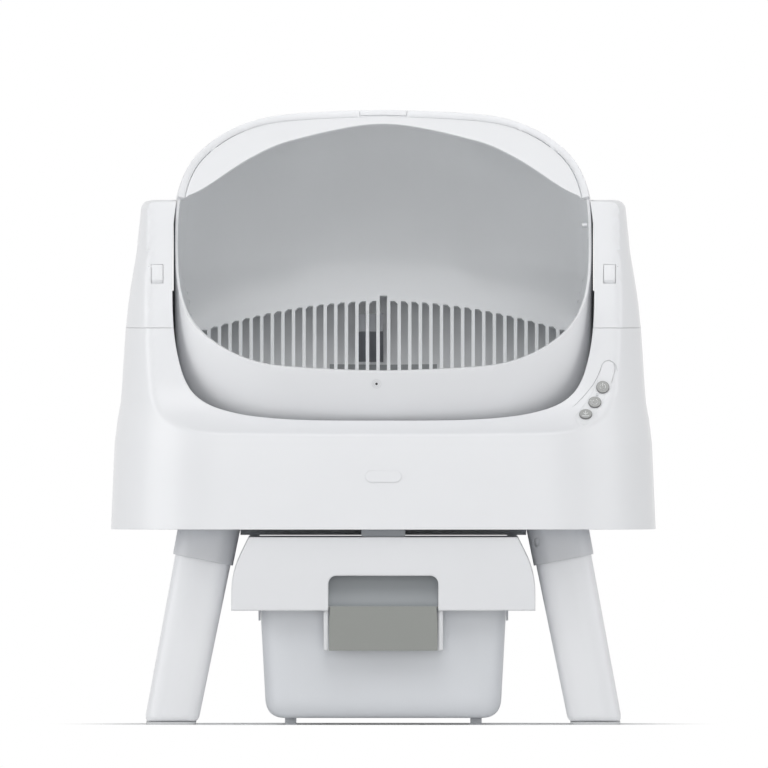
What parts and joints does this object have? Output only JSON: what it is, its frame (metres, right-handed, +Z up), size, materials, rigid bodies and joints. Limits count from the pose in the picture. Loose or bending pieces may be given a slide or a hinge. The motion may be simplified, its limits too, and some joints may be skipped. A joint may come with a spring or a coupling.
{
  "type": "self-cleaning litter box",
  "caption": "Litter box on splayed legs: a tilting drum with a sieve turns between two towers and tips waste into a pull-out drawer below.",
  "frame": {"origin": "on the floor under the middle of the object", "axes": "+X to the right seen from the front, +Y to the back, +Z up; the drum's axle runs along X"},
  "size_m": [0.572, 0.4298, 0.6443],
  "materials": {
    "white_shell": "satin",
    "button_grey": "satin",
    "leg_white": "satin",
    "sieve_grey": "satin",
    "inner_grey": "matt",
    "drawer_white": "satin",
    "bin_grey": "satin",
    "grip_grey": "matt",
    "dark_plastic": "matt",
    "acetal": "satin",
    "brass": "turned",
    "steel": "ground",
    "circuit_green": "matt",
    "lamp": "clear",
    "pad_rubber": "matt"
  },
  "bodies": {
    "base": {"housing": "white_shell", "drum_tub": "white_shell", "base_pan": "inner_grey", "waste_chute": "inner_grey", "drawer_catch": "inner_grey", "drawer_runners": "inner_grey", "control_pad": "white_shell", "control_board": "circuit_green", "status_light": "lamp", "badge_plate": "white_shell", "power_inlet": "dark_plastic", "home_sensor": "dark_plastic", "bearing_blocks": "inner_grey", "axle_bushes": "acetal", "gear_motor": "dark_plastic", "motor_mount": "inner_grey", "front_right_leg": "leg_white", "front_left_leg": "leg_white", "rear_right_leg": "leg_white", "rear_left_leg": "leg_white", "front_right_collar": "leg_white", "front_left_collar": "leg_white", "rear_right_collar": "leg_white", "rear_left_collar": "leg_white", "leg_pads": "pad_rubber"},
    "left_cover": {"left_cover": "white_shell", "left_latch_pin": "steel"},
    "right_cover": {"right_cover": "white_shell", "right_latch_pin": "steel"},
    "left_latch": {"left_latch": "white_shell"},
    "right_latch": {"right_latch": "white_shell"},
    "power_button": {"power_button": "button_grey"},
    "clean_button": {"clean_button": "button_grey"},
    "level_button": {"level_button": "button_grey"},
    "drum": {"drum_bowl": "white_shell", "home_magnet": "steel", "visor_peg": "white_shell", "visor_ring": "white_shell", "visor_panel": "white_shell", "sieve": "sieve_grey", "litter_baffle": "white_shell", "sieve_keeper": "sieve_grey", "hub_flanges": "acetal", "trunnions": "acetal", "drive_gear": "acetal"},
    "visor_tab": {"visor_tab": "white_shell"},
    "pinion": {"motor_pinion": "brass"},
    "drawer": {"drawer_skirt": "drawer_white", "drawer_grip": "grip_grey", "waste_bin": "bin_grey", "bin_clips": "drawer_white", "bin_feet": "bin_grey", "bag_ring": "drawer_white"}
  },
  "joints": [
    {"name": "drum_turn", "type": "hinge", "parent": "base", "child": "drum", "pos_m": [0, 0, 0.433], "axis": [-1, 0, 0], "range_deg": [-25, 225]},
    {"name": "pinion_turn", "type": "hinge", "parent": "base", "child": "pinion", "pos_m": [0.237, 0, 0.352], "axis": [-1, 0, 0], "range_deg": [-790, 90]},
    {"name": "left_cover_lift", "type": "slide", "parent": "base", "child": "left_cover", "axis": [0, 0, 1], "range_m": [0, 0.18]},
    {"name": "right_cover_lift", "type": "slide", "parent": "base", "child": "right_cover", "axis": [0, 0, 1], "range_m": [0, 0.18]},
    {"name": "left_latch_swing", "type": "hinge", "parent": "left_cover", "child": "left_latch", "pos_m": [-0.2375, -0.1209, 0.48061], "axis": [-1, 0, 0], "range_deg": [0, 12], "stiffness_Nm_per_rad": 0.05},
    {"name": "right_latch_swing", "type": "hinge", "parent": "right_cover", "child": "right_latch", "pos_m": [0.2375, -0.1209, 0.48061], "axis": [-1, 0, 0], "range_deg": [0, 12], "stiffness_Nm_per_rad": 0.05},
    {"name": "power_button_press", "type": "slide", "parent": "base", "child": "power_button", "axis": [0, 0.9338, -0.3578], "range_m": [0, 0.0012], "stiffness_N_per_m": 800},
    {"name": "clean_button_press", "type": "slide", "parent": "base", "child": "clean_button", "axis": [0, 0.8378, -0.546], "range_m": [0, 0.0012], "stiffness_N_per_m": 800},
    {"name": "level_button_press", "type": "slide", "parent": "base", "child": "level_button", "axis": [0, 0.7186, -0.6954], "range_m": [0, 0.0012], "stiffness_N_per_m": 800},
    {"name": "visor_tab_press", "type": "slide", "parent": "drum", "child": "visor_tab", "axis": [0, -0.6652, -0.7466], "range_m": [0, 0.0015], "stiffness_N_per_m": 600},
    {"name": "drawer_slide", "type": "slide", "parent": "base", "child": "drawer", "axis": [0, -1, 0], "range_m": [0, 0.35]}
  ],
  "couplings": [
    {"joint": "pinion_turn", "follows": "drum_turn", "ratio": -3.5}
  ]
}
